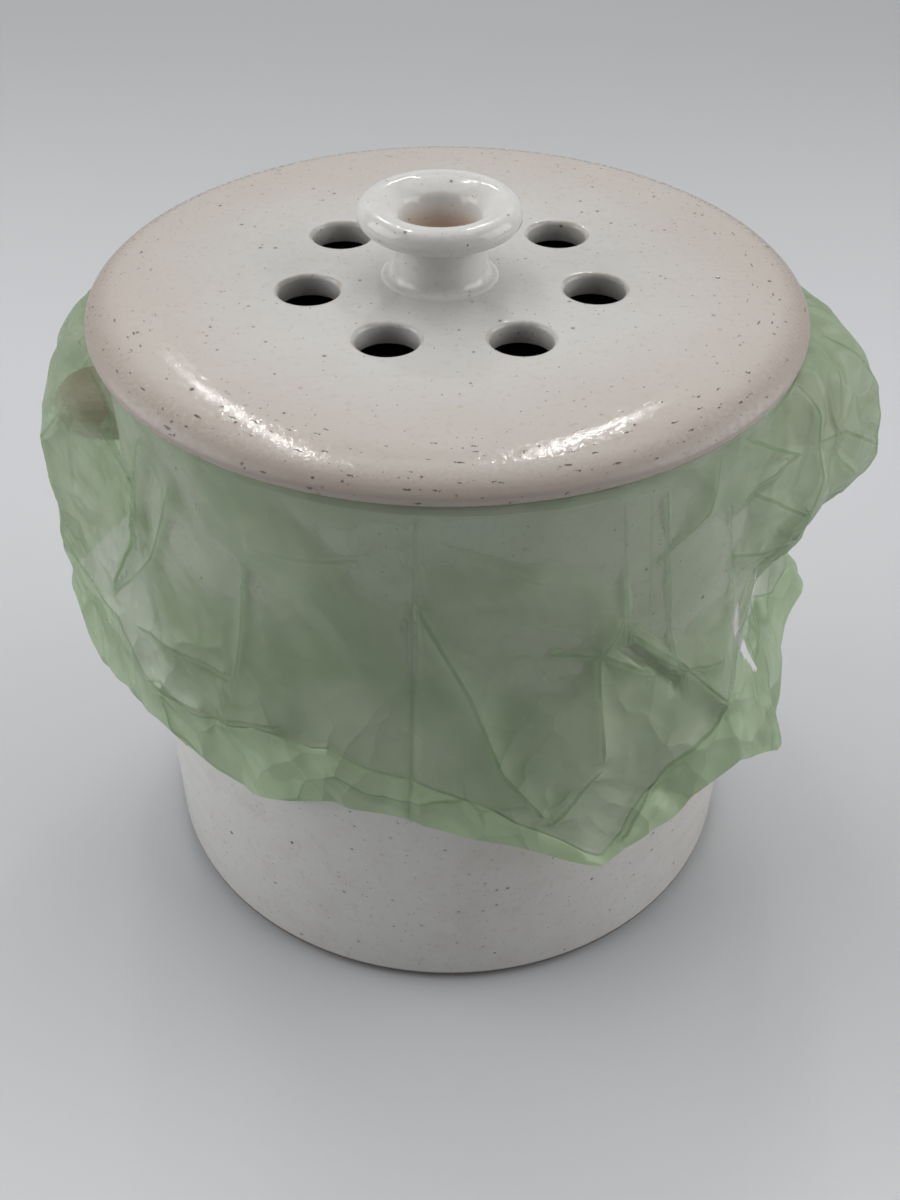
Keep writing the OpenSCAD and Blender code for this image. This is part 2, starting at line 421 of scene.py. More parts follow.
film = {
    "pale": colour(187, 200, 174),
    "deep": colour(148, 168, 135),
    "double": colour(180, 202, 166),
    # darker green of creases and folds, also used as painted shade in the film's valleys
    "crease": colour(116, 148, 104),
    "through": colour(186, 208, 166),
    "tint": (0.86, 0.89, 0.85, 1.0),
    "glow": 0.34,  # share of the light that it scatters through
    "cover": 0.8,  # share of the light that one layer stops
    "clearer": 0.44,  # less of it where the film lies on the clay
    "doubleCover": 0.2,  # more of it where it lies double
    "creaseCover": 0.14,  # and along creases
    "line": 0.45,  # half width of a sharp crease line, in mm
    "lineFades": (0.35, -0.25),  # where it begins and is whole, from there
    "cells": 26.0,  # crumples to a metre
    "smallCells": 2.3,  # times as many small ones
    "crumple": 8.5 * mm,  # depth of the bumps that the crumples make
    "drift": (22 * mm, 22 * mm, 22 * mm),  # how far crumples are pulled out of shape
}
# what makeLiner writes on each vertex for linerFilm
filmLayers = ("band", "strip", "crease", "near", "touch", "loose", "ridge", "valleyShade")


def linerFilm():
    # thin compostable film: clouded, crinkled, greener where it is creased or lies double, and with painted
    # shade in its valleys
    tree = Tree("linerFilm")
    place = tree.place()
    band, strip, crease, near, touch, loose, ridge, valleyShade = (
        tree.node("ShaderNodeAttribute", {"attribute_name": name})[2] for name in filmLayers
    )
    double = band.ramp(-0.3, 0.3).most(strip.ramp(-0.3, 0.3))
    edge = band.of("ABSOLUTE").ramp(0.7, 0.2)
    worn = tree.noise(place, 55, 2).ramp(0.27, 0.52) * 0.7 + 0.3
    outer, inner = (film["line"] + fade for fade in film["lineFades"])
    line = crease.of("ABSOLUTE").ramp(outer, inner) * near * worn
    line = line.most(edge * worn * 0.5)
    cloud = tree.noise(place, 26, 3)
    streak = tree.noise(place, 240, 4, 0.6)
    # crumpled film: cones that meet in sharp edges, at two sizes, and some of the edges are worn in
    drift = tree.node("ShaderNodeTexNoise", None, Vector=place, Scale=30.0, Detail=2.0)[1]
    pulled = tree.vectors("ADD", place, tree.vectors("MULTIPLY", drift, film["drift"]))
    wide = tree.cells(pulled, film["cells"])[0]
    small = tree.cells(pulled, film["cells"] * film["smallCells"])[0]
    edges = tree.cells(pulled, film["cells"], "DISTANCE_TO_EDGE")[0]
    fold = edges.ramp(0.022, 0.005) * tree.noise(place, 34, 2).ramp(0.5, 0.66) * (loose * 0.7 + 0.3)
    base = tree.blend(cloud.ramp(0.35, 0.65) * 0.8, film["pale"], film["deep"])
    base = tree.blend(double * 0.8, base, film["double"])
    # darker green along crease lines and folds, and painted shade in the valleys of the film
    base = tree.blend((valleyShade * 0.3).most(line * 0.65).most(fold * 0.55), base, film["crease"])
    crinkle = (wide + small * 0.4) * (loose * 0.75 + 0.4)
    normal = tree.bump(crinkle, film["crumple"], 1.0)
    normal = tree.bump(tree.noise(place, 380, 3), 0.15 * mm, 0.4, normal)
    normal = tree.bump(double, 0.35 * mm, 0.8, normal)
    normal = tree.bump(line, 0.25 * mm, 0.8, normal)
    skin = tree.surface(base, streak * 0.18 + 0.15, normal)
    glow = tree.node("ShaderNodeBsdfTranslucent", None, Color=film["through"], Normal=normal)[0]
    clear = tree.node("ShaderNodeBsdfTransparent", None, Color=film["tint"])[0]
    body = tree.node("ShaderNodeMixShader", None, film["glow"], skin, glow)[0]
    cover = film["cover"] - touch * film["clearer"] + double * film["doubleCover"]
    cover = cover + ridge.most(line).most(fold) * film["creaseCover"]
    cover = (cover + (cloud - 0.5) * 0.2).least(1.0)
    return tree.finish(tree.node("ShaderNodeMixShader", None, cover, clear, body)[0])


# Shapes


def arc(centre, radius, start, end, steps=8):
    turns = [math.radians(start + (end - start) * i / steps) for i in range(steps + 1)]
    return [(centre[0] + radius * math.cos(t), centre[1] + radius * math.sin(t)) for t in turns]


def bezier(a, b, c, d, steps=10):
    points = []
    for i in range(steps + 1):
        t = i / steps
        u = 1 - t
        w = (u * u * u, 3 * u * u * t, 3 * u * t * t, t * t * t)
        points.append(tuple(sum(k * p[n] for k, p in zip(w, (a, b, c, d))) for n in (0, 1)))
    return points


def cleaned(points, least=0.02 * mm):
    kept = [points[0]]
    for p in points[1:]:
        if math.dist(p, kept[-1]) > least:
            kept.append(p)
    return kept


def spin(bm, profile, centre=(0, 0, 0), steps=96):
    # turns a profile of (radius, height) points about a vertical axis
    cx, cy, cz = centre
    verts = [bm.verts.new((cx + r, cy, cz + z)) for r, z in cleaned(profile)]
    edges = [bm.edges.new(pair) for pair in zip(verts, verts[1:])]
    bmesh.ops.spin(
        bm,
        geom=verts + edges,
        cent=(cx, cy, 0),
        axis=(0, 0, 1),
        dvec=(0, 0, 0),
        angle=2 * math.pi,
        steps=steps,
        use_merge=True,
        use_duplicate=False,
    )


def finished(name, bm, material, body, *nodes, slot=None):
    mesh = bpy.data.meshes.new(name)
    bm.to_mesh(mesh)
    bm.free()
    mesh.polygons.foreach_set("use_smooth", [True] * len(mesh.polygons))
    piece = bpy.data.objects.new(name, mesh)
    scene.collection.objects.link(piece)
    mesh.materials.append(material)
    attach(piece, body)
    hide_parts(*nodes)
    return piece


def closed(bm):
    bmesh.ops.remove_doubles(bm, verts=bm.verts, dist=0.005 * mm)
    bmesh.ops.recalc_face_normals(bm, faces=bm.faces)
    return bm


def wobble(bm, centreX, fromRadius, amount, seed):
    # a hand-thrown pot is never quite round
    for v in bm.verts:
        x = v.co.x - centreX
        r = math.hypot(x, v.co.y)
        if r < 1e-6:
            continue
        give = smooth(fromRadius * 0.6, fromRadius, r) * amount
        push = noise.noise(Vector((x / r * 1.3 + seed, v.co.y / r * 1.3, v.co.z * 7))) * give
        v.co.x += x / r * push
        v.co.y += v.co.y / r * push


# Clay pieces


def makeCrock(material):
    high, outer = span("crock_body")[1:3]
    top = high.z
    base = outer - crock["flare"]
    inner = base - crock["wall"]
    edge = crock["rimRound"]
    curve = crock["floorCurve"]
    foot = crock["footHigh"]
    stands = base - crock["footIn"]
    profile = [(0, 0), (stands - 12 * mm, 0)]
    profile += arc((stands - 0.6 * mm, 0.6 * mm), 0.6 * mm, -90, -20, 4)
    profile += arc((base - 0.9 * mm, foot + 0.4 * mm), 0.9 * mm, -50, 0, 4)
    throws = 64
    for k in range(1, throws):
        t = foot / top + (0.98 - foot / top) * k / throws
        ripple = 0.09 * mm * math.sin(k * 1.9) * math.sin(k * 0.37 + 1)  # throwing lines
        profile.append((base + crock["flare"] * t + ripple, top * t))
    profile += arc((outer - edge, top - edge), edge, 0, 90, 6)
    profile += arc((inner + edge, top - edge), edge, 90, 180, 6)
    profile += arc((inner - curve, crock["floor"] + curve), curve, 0, -90, 10)
    profile += [(0, crock["floor"])]
    bm = bmesh.new()
    spin(bm, profile, steps=192)
    return finished("crockBody", closed(bm), material, "crock", "crock_body", slot="crock_glaze")


def makeLid(material):
    low, high, radius, centreX = span("lid_plate")
    thick = high.z - low.z
    nose = lid["nose"]
    wide = lid["shoulder"]
    under = lid["hollow"]
    ledge = lid["ledgeIn"]
    outside = [(ledge - under - 2 * mm, under), (ledge - under, under), (ledge, 0)]
    outside += arc((radius - nose, nose), nose, -90, 0, 8)
    outside += [(radius + lid["bead"] * 0.4, nose + 0.5 * mm), (radius - 0.1 * mm, nose + 1.3 * mm)]
    for i in range(5, 25):
        t = math.radians(i * 90 / 24)
        outside.append((radius - wide + wide * math.cos(t), nose + (thick - nose) * math.sin(t)))
    outside += [(radius - wide - 4 * mm, thick)]
    bm = bmesh.new()
    spin(bm, outside, (centreX, 0, low.z), 240)
    edge = lid["ventEdge"]
    hole = lid["ventRadius"]
    ventProfile = [(hole + edge + 1 * mm, thick)]
    ventProfile += arc((hole + edge, thick - edge), edge, 90, 180, 8)
    ventProfile += [(hole, under + 0.6 * mm), (hole + 0.6 * mm, under), (hole + 1.4 * mm, under)]
    for i in range(lid["vents"]):
        a = math.radians(lid["ventTurn"] + i * 360 / lid["vents"])
        x = centreX + lid["ventOff"] + lid["ventRing"] * math.cos(a)
        y = lid["ventRing"] * math.sin(a)
        spin(bm, ventProfile, (x, y, low.z), 64)
    bmesh.ops.remove_doubles(bm, verts=bm.verts, dist=0.005 * mm)
    for level in (low.z + thick, low.z + under):
        rims = [e for e in bm.edges if e.is_boundary and abs(e.verts[0].co.z - level) < 0.01 * mm]
        bmesh.ops.triangle_fill(bm, use_beauty=True, edges=rims, normal=(0, 0, 1))
    wobble(bm, centreX, 100 * mm, 0.5 * mm, 3.1)
    return finished("lidPlate", closed(bm), material, "lid", "lid_plate", slot="lid_glaze")


def makeKnob(material):
    low, high, radius, centreX = span("lid_knob")
    tall = high.z - low.z
    nose = knob["nose"]
    neck = knob["neck"]
    fillet = knob["fillet"]
    well = knob["well"]
    ring = knob["ring"]
    rim = (radius - nose, tall - nose)
    neckTop = rim[1] - nose - fillet
    lean = math.radians(250)
    under = (rim[0] + nose * math.cos(lean), rim[1] + nose * math.sin(lean))
    foot = neck + fillet
    profile = [(foot + 1.1 * mm, -0.02 * mm), (foot + 0.75 * mm, ring * 0.4), (foot + 0.4 * mm, ring * 0.85)]
    profile += [(foot, ring), (foot - 0.4 * mm, ring * 0.95)]
    profile += arc((foot, fillet + 0.3 * mm), fillet, 245, 180, 8)
    profile += bezier((neck, neckTop - fillet), (neck, neckTop), (neck + 2 * mm, under[1] - 1 * mm), under)
    profile += arc(rim, nose, 250, 450, 20)
    profile += bezier(
        (rim[0], tall), (rim[0] - 3 * mm, tall), (well + 1.5 * mm, rim[1] + 1.5 * mm), (well, rim[1])
    )
    profile += bezier(
        (well, rim[1]),
        (well - 1.5 * mm, rim[1] - 3 * mm),
        (knob["wellFloor"] + 3 * mm, knob["wellHigh"]),
        (knob["wellFloor"], knob["wellHigh"]),
    )
    profile += [(0, knob["wellHigh"])]
    bm = bmesh.new()
    spin(bm, profile, (centreX, 0, low.z), 128)
    wobble(bm, centreX, radius, 0.3 * mm, 8.4)
    return finished("lidKnob", closed(bm), material, "lid", "lid_knob", slot="knob_glaze")


# Film liner, one sheet from the bottom of the crock to the hem

liner = {
    "around": 600,  # points round each row
    "upperRows": 50,
    "lowerRows": 56,
    "pouchR": 98.3 * mm,
    "pouchFold": 3.2 * mm,  # depth of the soft folds inside the crock
    "gap": 0.4 * mm,  # film to clay
    "drop": 3 * mm,  # rim to the start of the bulge, where no lug lifts the film
    "bellyDrop": 56 * mm,  # rim to the widest part of the bulge
    "liftWide": 30,  # degrees to each side in which a lug lifts the film
    "slackLeft": 3.5 * mm,
    "slackRight": 12 * mm,
    "slackWide": 24,  # degrees
    "pinch": 15 * mm,  # the film is tucked in under the right lug
    "pinchTurn": 350,
    "pinchWide": 26,  # degrees
    "pinchHigh": 119 * mm,
    "pinchUp": 19 * mm,
    "pinchDown": 34 * mm,
    "roughTurn": 345,  # it is crumpled most over the right lug, towards the front
    "roughWide": 42,
    "thinTurn": 196,  # it is stretched thin over the left lug
    "thinWide": 15,
    "thinHigh": 190 * mm,
    "thinTall": 14 * mm,
    "seed": 11,
}
# facets of crumpled film: size, height, and how much is added to it where the film is rough, all in mm
facetSizes = [(34, 2.6, 1.2), (17, 1.5, -0.5), (8.5, 0.45, -0.1)]
roughIn = 1.2  # mm that rough film lies further in
perDegree = 2.15  # mm round the film to a degree of direction
# drop of the hem below the rim and its flare, in mm, by direction in degrees
hemDrop = [
    (0, 108), (20, 116), (45, 102), (70, 112), (95, 100), (120, 111), (150, 98), (175, 110), (198, 118),
    (219, 108), (238, 120), (252, 109), (270, 114), (292, 128), (304, 122), (316, 111), (329, 131),
    (345, 116), (360, 108),
]
hemFlare = [
    (0, 3), (25, 12), (60, 9), (90, 7), (120, 11), (150, 10), (172, 5), (184, 5), (198, 10), (219, 11),
    (238, 9), (252, 7), (270, 8), (292, 15), (304, 17), (316, 20), (329, 22.5), (345, 9), (360, 3),
]
# width of the band at the hem where the film lies double, by direction
hemBand = [
    (0, 12), (60, 16), (120, 14), (180, 16), (190, 26), (206, 26), (215, 13), (229, 20), (239, 30), (249, 20),
    (265, 16), (280, 8), (292, 4), (295, 6), (304, 18), (313, 16), (320, 24), (327, 38), (340, 30), (350, 14),
    (360, 12),
]
# narrow folds where the film lies in three layers: half width and route
strips = [
    (1.3, [(205, 188), (211, 179), (210, 164), (206, 140), (204.5, 127)]),
    (1.8, [(337, 150), (333, 141), (330, 128), (331, 108), (328, 92)]),
]
# a tear beside the pinch: direction and height of its ends, and its width
slit = [(328, 133), (330, 117), (332, 100)]
slitWide = 3.4
# creases as (height out, width, [(direction, height above the floor), ...]), in mm and degrees
creases = [
    (-7.0, 8.0, [(186, 190), (194, 190), (199, 184)]),
    (2.4, 3.2, [(205, 188), (211, 180), (210, 164), (205, 129)]),
    (2.0, 2.6, [(217, 196), (212, 173), (209, 150)]),
    (1.8, 3.0, [(224, 186), (214, 151), (204, 125)]),
    (2.6, 2.6, [(186, 122), (191, 117), (206, 119), (215, 108), (229, 112)]),
    (1.6, 2.2, [(211, 121), (222, 127), (233, 130)]),
    (0.9, 1.4, [(238, 172), (236, 136), (233, 110)]),
    (1.4, 2.0, [(232, 124), (234, 114), (243, 119)]),
    (-0.9, 1.0, [(265.4, 204), (264.7, 160), (264.3, 96)]),
    (1.8, 2.6, [(266, 170), (273, 141), (278, 112), (284, 95)]),
    (0.9, 1.3, [(295, 198), (298, 148)]),
    (-0.7, 1.2, [(299.4, 198), (302.7, 146)]),
    (1.8, 2.4, [(296, 157), (293, 146), (293.6, 112)]),
    (1.5, 1.8, [(286, 152), (294, 147), (301, 137), (309, 130), (318, 124)]),
    (1.5, 2.2, [(293, 106), (286, 92)]),
    (0.7, 1.4, [(240, 181), (256, 185)]),
    (0.7, 1.4, [(269, 194), (283, 179)]),
    (2.6, 7.0, [(320, 182), (333, 184)]),
    (3.2, 8.0, [(336, 202), (337, 184), (338, 171), (337, 150)]),
    (2.4, 7.0, [(319, 202), (333, 184)]),
    (2.4, 7.0, [(337, 184), (346, 178), (354, 164)]),
    (2.2, 6.0, [(322, 158), (330, 150), (340, 146)]),
    (1.5, 4.5, [(312, 202), (311, 186), (303, 176)]),
    (1.2, 1.8, [(302, 197), (305, 165), (308, 131)]),
    (1.4, 2.0, [(317, 181), (321, 158), (324, 134)]),
    (-1.8, 2.4, [(299, 146), (308, 126)]),
    (1.8, 2.6, [(299, 151), (309, 132), (317, 110)]),
    (-3.0, 3.4, [(346, 150), (338, 150), (333, 140), (329, 127)]),
    (3.0, 3.6, [(343, 140), (338, 118), (334, 96), (330, 76)]),
    (1.6, 2.0, [(296, 84), (304, 102), (313, 108), (322, 118)]),
    (1.9, 5.0, [(323, 180), (330, 170), (337, 158)]),
    (1.8, 6.0, [(347, 196), (343, 176), (348, 160)]),
    (2.2, 6.0, [(352, 202), (358, 182), (355, 160)]),
    (2.2, 2.8, [(4, 202), (12, 184), (6, 160)]),
    (1.6, 2.2, [(12, 184), (22, 172)]),
    (1.8, 2.6, [(24, 198), (30, 176), (27, 150)]),
    (1.3, 2.0, [(30, 176), (42, 160), (46, 138)]),
    (1.0, 1.8, [(62, 198), (60, 172)]),
    (1.2, 2.0, [(56, 150), (66, 128), (64, 108)]),
    (0.9, 1.6, [(66, 128), (78, 120)]),
    (1.0, 1.8, [(88, 196), (92, 166), (100, 150)]),
    (0.8, 1.6, [(106, 202), (104, 176)]),
    (1.2, 2.0, [(112, 158), (108, 132), (114, 112)]),
    (1.3, 2.2, [(128, 198), (124, 176), (131, 158)]),
    (1.0, 1.8, [(131, 158), (142, 146), (144, 124)]),
    (2.0, 2.6, [(158, 200), (151, 180), (156, 158)]),
    (2.0, 2.6, [(172, 202), (168, 178), (175, 152)]),
    (1.4, 2.2, [(168, 178), (160, 150), (163, 128)]),
    (1.8, 2.4, [(190, 202), (192, 184), (184, 160), (188, 130)]),
]

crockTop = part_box("crock_body")[1].z
crockR = span("crock_body")[2]
filmR = crockR + liner["gap"] + 0.3 * mm
lugLow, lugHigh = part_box("lug_right")
lug = {
    "r": (lugHigh.y - lugLow.y) / 2,
    "x": lugHigh.x - (lugHigh.y - lugLow.y) / 2,
    "z": (lugHigh.z + lugLow.z) / 2,
    "edge": (lugHigh.z - lugLow.z) / 2,
}


class Facets:
    # flat facets between random heights on a warped triangle grid that closes round the pot
    radius = 122  # of the film, in mm
    tall = 130
    lowest = 66

    def __init__(self, size, seed):
        draw = random.Random(seed)
        self.size = size
        self.columns = max(3, round(2 * math.pi * self.radius / size))
        self.rows = round(self.tall / size) + 4
        self.heights = [[draw.uniform(-1, 1) for _ in range(self.rows + 4)] for _ in range(self.columns)]

    def at(self, degrees, high):
        turn = math.radians(degrees)
        spot = Vector((math.cos(turn) * 2.2, math.sin(turn) * 2.2, high / 48)) * (36 / self.size)
        across, down = noise.noise(spot + Vector((9.3, -1.5, -8.0))), noise.noise(spot)
        v = max(0.0, (high - self.lowest) / self.size + down * 0.9 + 1)
        u = degrees / 360 * self.columns + across * 0.9 + v * 0.5 + self.columns
        i, j = int(u), min(int(v), self.rows + 2)
        f, g = u - i, min(1.0, v - j)
        a, b = self.heights[i % self.columns], self.heights[(i + 1) % self.columns]
        if f + g < 1:
            return a[j] + f * (b[j] - a[j]) + g * (a[j + 1] - a[j])
        return b[j + 1] + (1 - f) * (a[j + 1] - b[j + 1]) + (1 - g) * (b[j] - b[j + 1])


def fromRoute(degrees, high, points, reach):
    # distance in mm from a route on the film, on which side of it, and how far its ends are; none past reach
    best = None
    for (a, p), (b, q) in zip(points, points[1:]):
        if high > max(p, q) + reach or high < min(p, q) - reach:
            continue
        side = between(degrees, a)
        if abs(side) > abs(b - a) + reach / 2:
            continue
        x, y = side * perDegree, high - p
        dx, dy = (b - a) * perDegree, q - p
        t = min(1.0, max(0.0, (x * dx + y * dy) / (dx * dx + dy * dy)))
        away = math.hypot(x - t * dx, y - t * dy)
        if away < reach and (best is None or away < best[0]):
            spot = degrees * perDegree, high
            ends = min(math.dist(spot, (turn * perDegree, z)) for turn, z in (points[0], points[-1]))
            best = away, 1 if x * dy - y * dx > 0 else -1, ends
    return best


def creased(degrees, high):
    # how far the listed creases push the film out, the signed distance to the nearest, and how near it is
    push, line, nearest, strong = 0.0, 9.0, 9.0, 0.0
    for tall, wide, points in creases:
        found = fromRoute(degrees, high, points, wide * 3)
        if found:
            away, side = found[:2]
            near = tall * (math.exp((1 - math.hypot(away, 1)) / wide) - math.exp(-3))
            if abs(near) > abs(push):
                push = near
            if away < nearest:
                nearest, line, strong = away, away * side, min(1.0, abs(tall) / 1.5)
    return push, line, strong * (1 - smooth(1.6, 3.0, nearest))


def folded(degrees, high):
    # depth inside the nearest narrow fold, in mm, negative outside
    best = -3.0
    for half, points in strips:
        found = fromRoute(degrees, high, points, half + 3)
        if found:
            best = max(best, half * smooth(-2, 9, found[2]) - found[0])
    return best


def inSlit(degrees, high):
    top, bottom = slit[0][1], slit[-1][1]
    if not bottom < high < top:
        return False
    middle = table([(h, a) for a, h in reversed(slit)], high)
    along = (high - bottom) / (top - bottom)
    return abs(degrees - middle) * perDegree < slitWide * math.sin(math.pi * along) ** 0.7


def clayReach(degrees, high):
    # how far the crock or a lug stands out in one direction at one height
    wall = crockR - crock["flare"] * (1 - high / crockTop)
    across = lug["x"] * abs(math.sin(math.radians(degrees)))
    up = abs(high - lug["z"])
    if up >= lug["edge"]:
        return wall
    around = lug["r"] - lug["edge"] + math.sqrt(lug["edge"] ** 2 - up * up)
    if across >= around:
        return wall
    ahead = lug["x"] * abs(math.cos(math.radians(degrees)))
    return max(wall, ahead + math.sqrt(around**2 - across * across))


def tightReach(degrees):
    # reach of film drawn tight round the crock and a lug
    turn = math.radians(min(degrees, abs(degrees - 180), 360 - degrees))
    lugR = lug["r"] + 1 * mm
    leave = math.acos((filmR - lugR) / lug["x"])
    meet = math.atan2(lugR * math.sin(leave), lug["x"] + lugR * math.cos(leave))
    if turn >= leave:
        return filmR
    if turn >= meet:
        return filmR / math.cos(leave - turn)
    across = lug["x"] * math.sin(turn)
    return lug["x"] * math.cos(turn) + math.sqrt(lugR * lugR - across * across)


def pouchProfile():
    # from the middle of the crock's floor up its wall and over the rim, as (radius, height)
    low, high = (corner.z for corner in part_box("liner_pouch"))
    reach = liner["pouchR"]
    points = [(r * mm, low + 0.4 * mm) for r in (0.5, 12, 25, 38, 51, 64, 76)]
    points += arc((reach - 16 * mm, low + 16.4 * mm), 16 * mm, -90, 0, 6)
    points += [(reach, z * mm) for z in range(32, int(high / mm) - 4, 6)]
    points += arc((reach + 1.5 * mm, high - 1.9 * mm), 1.5 * mm, 180, 90, 3)
    points += [(filmR - 3 * mm, high - 0.4 * mm)]
    points += arc((filmR - 1 * mm, high - 1.4 * mm), 1 * mm, 90, 0, 3)
    return points


def pouchRow(r, z):
    # one row of the film inside the crock, where it hangs in soft upright folds
    hang = smooth(crockTop - 14 * mm, crockTop - 50 * mm, z) * smooth(60 * mm, 98 * mm, r)
    row = []
    for i in range(liner["around"]):
        turn = 2 * math.pi * i / liner["around"]
        spot = Vector((math.cos(turn) * 4, math.sin(turn) * 4, z * 6))
        give = max(0.0, 0.35 + noise.noise(spot) + 0.5 * noise.noise(spot * 2.7))
        row.append((r - give * hang * liner["pouchFold"], z, (-9.0, -3.0, 9.0, 0.0, 0.6, 0.2)))
    return row


def hemAt(degrees):
    # height of the hem and of its double band
    turn = Vector((math.cos(math.radians(degrees)), math.sin(math.radians(degrees)), 0.3))
    drop = table(hemDrop, degrees) + noise.noise(turn * 6) * 2.2
    band = table(hemBand, degrees) + noise.noise(turn * 4.1) * 3.5 + noise.noise(turn * 11) * 1.2
    return crockTop - drop * mm, band * mm


def cuffRoute(degrees, cuffTop, hem):
    # smooth route of the film over the rim, out to the bulge and down to the hem, as (radius, height)
    belly = crockTop - liner["bellyDrop"]
    tight = tightReach(degrees)
    flare = table(hemFlare, degrees) * mm
    onRight = liner["slackRight"] * bell(min(degrees, 360 - degrees), liner["slackWide"])
    onLeft = liner["slackLeft"] * bell(abs(degrees - 180), liner["slackWide"])
    pinch = liner["pinch"] * bell(between(degrees, liner["pinchTurn"]), liner["pinchWide"])
    route = []
    for k in range(1, liner["upperRows"] + 1):
        s = math.pi / 2 * k / liner["upperRows"]
        r = filmR + (tight - filmR + (onRight + onLeft)) * math.sin(s)
        route.append((r, belly + (cuffTop - belly) * math.cos(s)))
    for k in range(1, liner["lowerRows"] + 1):
        d = k / liner["lowerRows"]
        z = belly + (hem - belly) * d
        r = tight + (onRight * bell(d, 0.35) + onLeft * bell(d, 0.9)) + flare * d**1.3
        over = z - liner["pinchHigh"]
        r -= pinch * bell(over, liner["pinchUp"] if over > 0 else liner["pinchDown"])
        route.append((r, z))
    return route


def cuffColumn(degrees, facets):
    # crumpled film from the rim to the hem, as (radius, height, values for its first layers)
    lift = bell(min(degrees, 360 - degrees), liner["liftWide"]) + bell(abs(degrees - 180), liner["liftWide"])
    cuffTop = crockTop - liner["drop"] * (1 - min(1.0, lift) * 0.85)
    hem, band = hemAt(degrees)
    rough = bell(between(degrees, liner["roughTurn"]), liner["roughWide"])
    route = cuffRoute(degrees, cuffTop, hem)
    column = []
    for k, (r, z) in enumerate(route):
        (r0, z0), (r1, z1) = route[max(0, k - 1)], route[min(len(route) - 1, k + 1)]
        run = math.hypot(r1 - r0, z1 - z0)
        out, up = (z0 - z1) / run, (r1 - r0) / run
        down = (cuffTop - z) / (cuffTop - hem)
        high = z / mm
        loose = max(min(1.0, lift * 1.2), smooth(0.45, 1, down))
        push = sum(grid.at(degrees, high) * (tall + more * rough) for grid, tall, more in facets)
        push = (push - rough * roughIn) * smooth(0.0, 0.2, k / len(route)) * (0.42 + 0.58 * loose)
        bend, line, near = creased(degrees, high)
        strip = folded(degrees, high)
        inBand = (band - (z - hem)) / mm
        push += bend * smooth(0.0, 0.1, down)
        push += smooth(-1.7, 1.7, inBand) * 0.7 + smooth(-1.5, 1.5, strip) * 0.5
        r += push * out * mm
        z += push * up * mm
        clay = clayReach(degrees, z) + liner["gap"]
        r = max(r, clay)
        z = min(z, crockTop + 0.2 * mm)
        thin = 2.4 * bell(degrees - liner["thinTurn"], liner["thinWide"])
        thin *= bell(z - liner["thinHigh"], liner["thinTall"])
        touch = max(math.exp((clay - r) / (0.9 * mm)), min(1.6, thin))
        column.append((r, z, (inBand, strip, line, near, touch, loose)))
    return column


def makeLiner(material):
    facets = [
        (Facets(size, liner["seed"] + k), tall, more) for k, (size, tall, more) in enumerate(facetSizes)
    ]
    n = liner["around"]
    grid = [pouchRow(r, z) for r, z in pouchProfile()]
    inside = len(grid)
    grid += zip(*(cuffColumn(360 * i / n, facets) for i in range(n)))
    bm = bmesh.new()
    layers = [bm.verts.layers.float.new(name) for name in filmLayers]
    rings = []
    for k, row in enumerate(grid):
        ring = []
        above, below = grid[max(0, k - 1)], grid[min(len(grid) - 1, k + 1)]
        for i, (r, z, marks) in enumerate(row):
            turn = 2 * math.pi * i / n
            v = bm.verts.new((r * math.cos(turn), r * math.sin(turn), z))
            # how sharply the film is bent across and down, in mm, for its ridges and for the painted shade in
            # its valleys
            bend = (row[i - 1][0] + row[(i + 1) % n][0] - 2 * r) + (above[i][0] + below[i][0] - 2 * r)
            bend = bend / mm if k > inside + 3 else 0.0
            bends = smooth(0.12, 0.7, -bend), smooth(0.12, 0.7, bend)
            for layer, value in zip(layers, marks + bends):
                v[layer] = value
            ring.append(v)
        rings.append(ring)
    for k, (upper, lower) in enumerate(zip(rings, rings[1:])):
        for i in range(n):
            j = (i + 1) % n
            if k <= inside or not inSlit(360 * (i + 0.5) / n, upper[i].co.z / mm):
                bm.faces.new((upper[i], upper[j], lower[j], lower[i]))
    bm.faces.new(list(reversed(rings[0])))
    bm.normal_update()
    return finished("linerFilm", bm, material, "liner", "liner_pouch", "liner_cuff", slot="film")


# Stage and light


studio = {
    "floor": colour(202, 203, 206),
    # painted light: the paper is lighter just in front of the object
    "near": colour(214, 215, 217),
    "far": colour(169, 171, 173),  # the paper falls into shade behind the object
    "world": (0.97, 0.98, 1.0, 1.0),
    "bright": 0.48,  # world strength behind the object
    "seen": 0.5,  # what the camera sees of it beyond the paper
    "dim": 0.06,  # and on the camera's side
}
# long thin lamps, for the two glints on the lid's shoulder: name, place, turn from straight back, size, power
stripLamps = [
    ("stripLeft", (-0.43, 1.05, 1.41), 6.8, (0.012, 1.5), 4.6),
    ("stripRight", (0.27, 1.16, 1.41), -9.9, (0.014, 0.96), 3.6),
]
stripTint = (1.0, 0.99, 0.97)
# name, place, height of the point on the axis that it faces, size, power
softLamps = [
    ("softLeft", (-1.5, -0.1, 0.75), 0.05, (1.5, 1.2), 14.2),
    ("softRight", (1.5, -0.1, 0.75), 0.05, (1.5, 1.2), 14.2),
    ("softTop", (0, 0.35, 2.3), 0.0, (2.2, 1.8), 13.4),
    ("softBack", (0, 2.0, 1.75), 0.2, (2.4, 1.0), 2.5),
]
white = (1.0, 1.0, 1.0)


def paperSweep():
    tree = Tree("studioPaper")
    y = tree.parts(tree.place())[1]
    tone = tree.blend(y.ramp(0.0, 0.95), studio["floor"], studio["far"])
    # painted light: lighter paper in front of the object
    tone = tree.blend(y.ramp(-0.08, -0.25), tone, studio["near"])
    return tree.finish(tree.surface(tone, 0.9))


